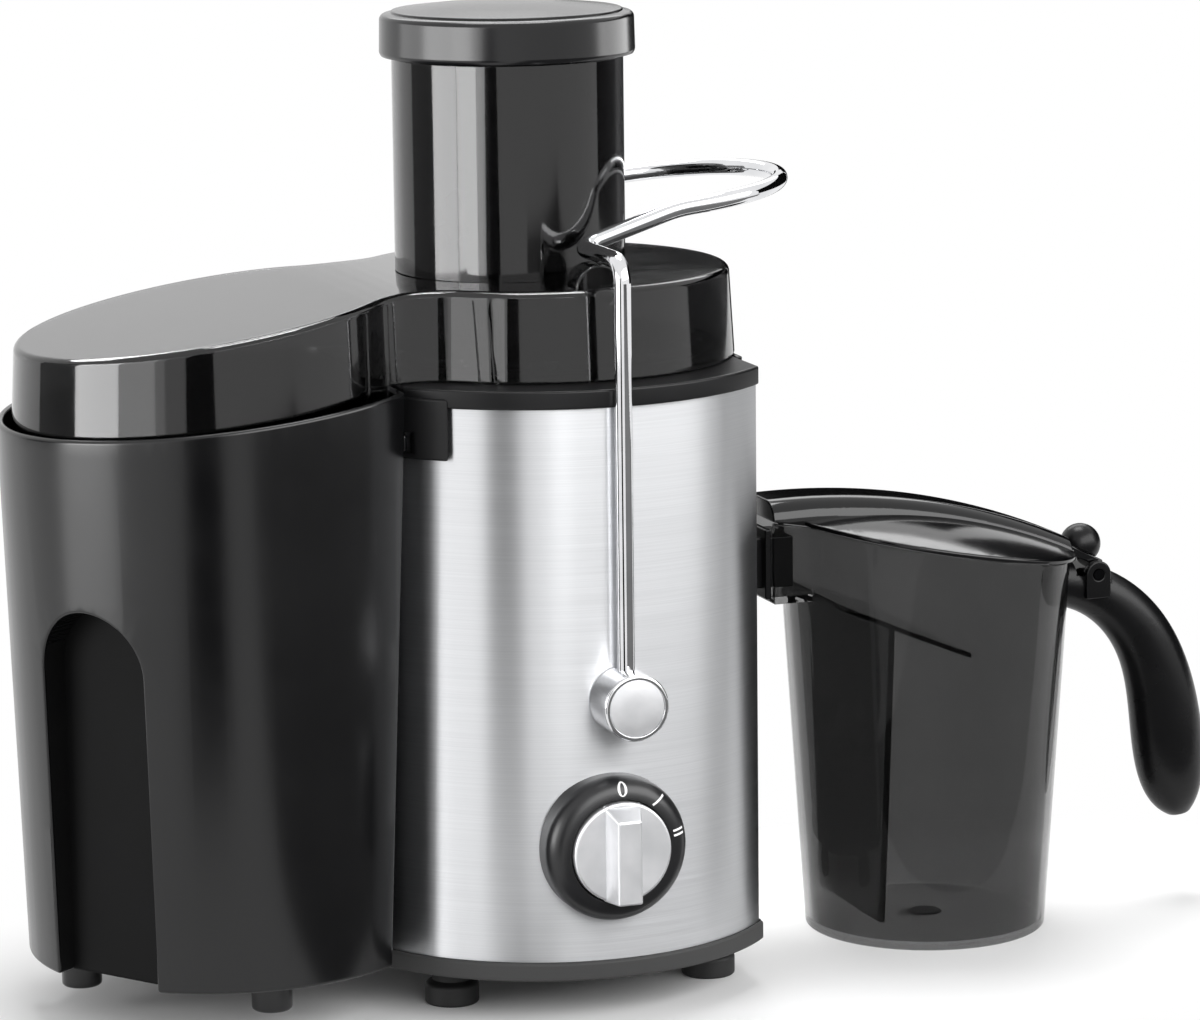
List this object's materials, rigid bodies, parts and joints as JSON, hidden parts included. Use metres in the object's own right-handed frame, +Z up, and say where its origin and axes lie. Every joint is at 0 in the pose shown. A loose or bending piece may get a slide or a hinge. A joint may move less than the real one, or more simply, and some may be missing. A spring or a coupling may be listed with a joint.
{
  "type": "centrifugal juicer",
  "caption": "Countertop centrifugal juicer: round steel-clad motor body, smoked lid with feed chute and pusher, locking bail, dial, pulp bin and lidded juice jug.",
  "frame": {"origin": "centre of the footprint at table level; the drive axis is 33.6 mm to its left", "axes": "+X towards the juice jug, +Y towards the back (the dial faces -Y), +Z up along the drive axis"},
  "size_m": [0.4542, 0.1985, 0.3459],
  "materials": {
    "black_abs": "moulded, fine grain",
    "ring_grey": "satin moulded",
    "bin_black": "satin moulded",
    "bowl_black": "gloss moulded",
    "smoked_lid": "clear smoked, gloss",
    "smoked_jug": "clear smoked, gloss",
    "jug_black": "gloss moulded",
    "brushed_steel": "brushed along the level hairlines",
    "pusher_black": "moulded",
    "cap_silver": "satin silver-grey lacquer",
    "chrome": "polished chrome plate",
    "bezel_grey": "satin moulded",
    "knob_silver": "satin silver lacquer",
    "rubber": "matte",
    "zinc_steel": "plain machined",
    "alu_cast": "die cast",
    "copper": "enamelled copper",
    "carbon": "pressed carbon",
    "switch_grey": "moulded",
    "coupling_nylon": "glass-filled nylon",
    "stainless": "pressed stainless"
  },
  "bodies": {
    "body": {"base_tray": "black_abs", "motor_housing": "black_abs", "jacket_front": "brushed_steel", "jacket_rear": "brushed_steel", "top_ring": "ring_grey", "juice_bowl": "bowl_black", "juice_spout": "bowl_black", "lid": "smoked_lid", "lid_seal": "rubber", "pulp_bin": "bin_black", "bin_pegs": "bin_black", "feet": "rubber", "foot_screws": "zinc_steel", "stator": "zinc_steel", "field_windings": "copper", "upper_bracket": "alu_cast", "lower_bracket": "alu_cast", "stator_bolts": "zinc_steel", "upper_bearing": "zinc_steel", "lower_bearing": "zinc_steel", "carbon_brushes": "carbon", "brush_holders": "switch_grey", "rubber_dampers": "rubber", "shaft_seal": "rubber", "dial_bezel": "bezel_grey", "speed_switch": "switch_grey", "interlock_switch": "switch_grey", "cord_bushing": "rubber", "pivot_bushes": "switch_grey"},
    "rotor": {"drive_shaft": "zinc_steel", "armature": "copper", "commutator": "copper", "cooling_fan": "switch_grey", "drive_coupling": "coupling_nylon", "sieve_basket": "stainless", "grater_disc": "stainless", "clamp_nut": "coupling_nylon"},
    "bail": {"bail_bar": "chrome", "bail_hub_front": "chrome", "bail_hub_rear": "chrome", "pivot_screws": "zinc_steel"},
    "dial": {"dial_knob": "knob_silver", "dial_spindle": "zinc_steel"},
    "pusher": {"pusher_tube": "pusher_black", "pusher_cap": "cap_silver"},
    "jug": {"jug": "smoked_jug", "jug_handle": "jug_black", "foam_separator": "smoked_jug", "hinge_pin": "zinc_steel"},
    "jug_lid": {"jug_lid": "jug_black", "thumb_ball": "jug_black"}
  },
  "joints": [
    {"name": "rotor_spin", "type": "hinge", "parent": "body", "child": "rotor", "pos_m": [-0.0336, 0, 0.15], "axis": [0, 0, 1], "continuous": true},
    {"name": "bail_swing", "type": "hinge", "parent": "body", "child": "bail", "pos_m": [-0.0336, 0, 0.1135], "axis": [0, 1, 0], "range_deg": [0, 32]},
    {"name": "dial_turn", "type": "hinge", "parent": "body", "child": "dial", "pos_m": [-0.0376, -0.09, 0.0627], "axis": [0, 1, 0], "range_deg": [0, 80]},
    {"name": "pusher_slide", "type": "slide", "parent": "body", "child": "pusher", "axis": [0, 0, 1], "range_m": [0, 0.12]},
    {"name": "jug_slide", "type": "slide", "parent": "body", "child": "jug", "axis": [1, 0, 0], "range_m": [0, 0.15]},
    {"name": "jug_lid_hinge", "type": "hinge", "parent": "jug", "child": "jug_lid", "pos_m": [0.18024, 0, 0.12627], "axis": [0, 1, 0], "range_deg": [0, 35]}
  ]
}
